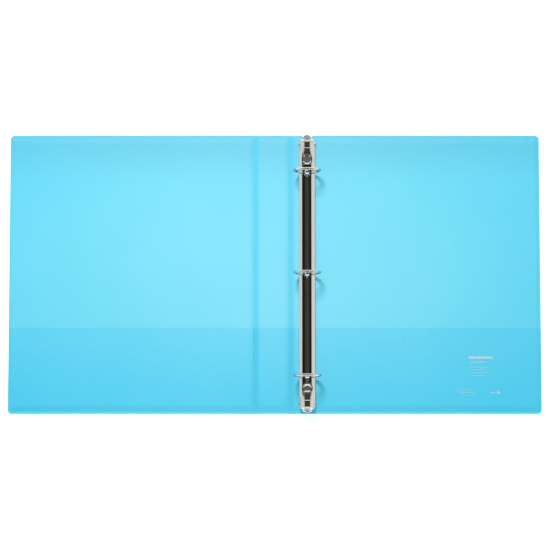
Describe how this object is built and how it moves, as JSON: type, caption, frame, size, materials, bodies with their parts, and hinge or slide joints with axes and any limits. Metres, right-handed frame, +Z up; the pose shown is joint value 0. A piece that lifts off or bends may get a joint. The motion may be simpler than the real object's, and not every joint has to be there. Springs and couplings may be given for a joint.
{
  "type": "ring binder",
  "caption": "Welded vinyl view binder lying open flat, with a round-ring mechanism riveted to the back cover, end triggers and low inside pockets.",
  "frame": {"origin": "middle of the spine's outer face, on the plane the open binder rests on", "axes": "+Z up out of the open binder, +X from the front cover to the back cover, +Y from the foot of the binder to its head"},
  "size_m": [0.5608, 0.295, 0.0345],
  "materials": {
    "blue_vinyl": "calendered flexible vinyl sheet, semi-matt, translucent at the welds",
    "pocket_film": "tinted clear vinyl film, smooth and slightly glossy",
    "clear_film": "clear glossy film",
    "chipboard": "plain grey board",
    "nickel_plate": "bright nickel-plated steel",
    "plated_steel": "zinc-plated spring steel"
  },
  "bodies": {
    "back_cover": {"back_board": "chipboard", "back_outer_skin": "blue_vinyl", "back_inner_skin": "blue_vinyl", "back_clear_film": "clear_film", "back_pocket": "pocket_film", "back_hinge_web": "blue_vinyl", "housing": "nickel_plate", "rivet_posts": "nickel_plate", "rivet_caps": "nickel_plate", "top_trigger_pin": "nickel_plate", "bottom_trigger_pin": "nickel_plate"},
    "spine": {"spine_board": "chipboard", "spine_outer_skin": "blue_vinyl", "spine_inner_skin": "blue_vinyl", "spine_clear_film": "clear_film", "spine_pocket": "pocket_film", "front_hinge_web": "blue_vinyl"},
    "front_cover": {"front_board": "chipboard", "front_outer_skin": "blue_vinyl", "front_inner_skin": "blue_vinyl", "front_clear_film": "clear_film", "front_pocket": "pocket_film"},
    "left_rings": {"left_hinge_plate": "plated_steel", "left_ring_top": "nickel_plate", "left_ring_middle": "nickel_plate", "left_ring_bottom": "nickel_plate"},
    "right_rings": {"right_hinge_plate": "plated_steel", "right_ring_top": "nickel_plate", "right_ring_middle": "nickel_plate", "right_ring_bottom": "nickel_plate"},
    "top_trigger": {"top_trigger": "nickel_plate"},
    "bottom_trigger": {"bottom_trigger": "nickel_plate"}
  },
  "joints": [
    {"name": "spine_hinge", "type": "hinge", "parent": "back_cover", "child": "spine", "pos_m": [0.0181, 0, 0.00144], "axis": [0, 1, 0], "range_deg": [-90, 78], "deforming": ["back_hinge_web"]},
    {"name": "front_hinge", "type": "hinge", "parent": "spine", "child": "front_cover", "pos_m": [-0.0187, 0, 0.00144], "axis": [0, 1, 0], "range_deg": [-90, 102], "deforming": ["front_hinge_web"]},
    {"name": "left_rings_open", "type": "hinge", "parent": "back_cover", "child": "left_rings", "pos_m": [0.02845, 0, 0.00471], "axis": [0, -1, 0], "range_deg": [0, 16]},
    {"name": "right_rings_open", "type": "hinge", "parent": "back_cover", "child": "right_rings", "pos_m": [0.04255, 0, 0.00471], "axis": [0, 1, 0], "range_deg": [0, 16]},
    {"name": "top_trigger_pull", "type": "hinge", "parent": "back_cover", "child": "top_trigger", "pos_m": [0.0355, 0.1375, 0.00521], "axis": [-1, 0, 0], "range_deg": [0, 32]},
    {"name": "bottom_trigger_pull", "type": "hinge", "parent": "back_cover", "child": "bottom_trigger", "pos_m": [0.0355, -0.1375, 0.00521], "axis": [1, 0, 0], "range_deg": [0, 32]}
  ],
  "couplings": [
    {"joint": "right_rings_open", "follows": "left_rings_open", "ratio": 1},
    {"joint": "top_trigger_pull", "follows": "left_rings_open", "ratio": 2},
    {"joint": "bottom_trigger_pull", "follows": "left_rings_open", "ratio": 2}
  ]
}
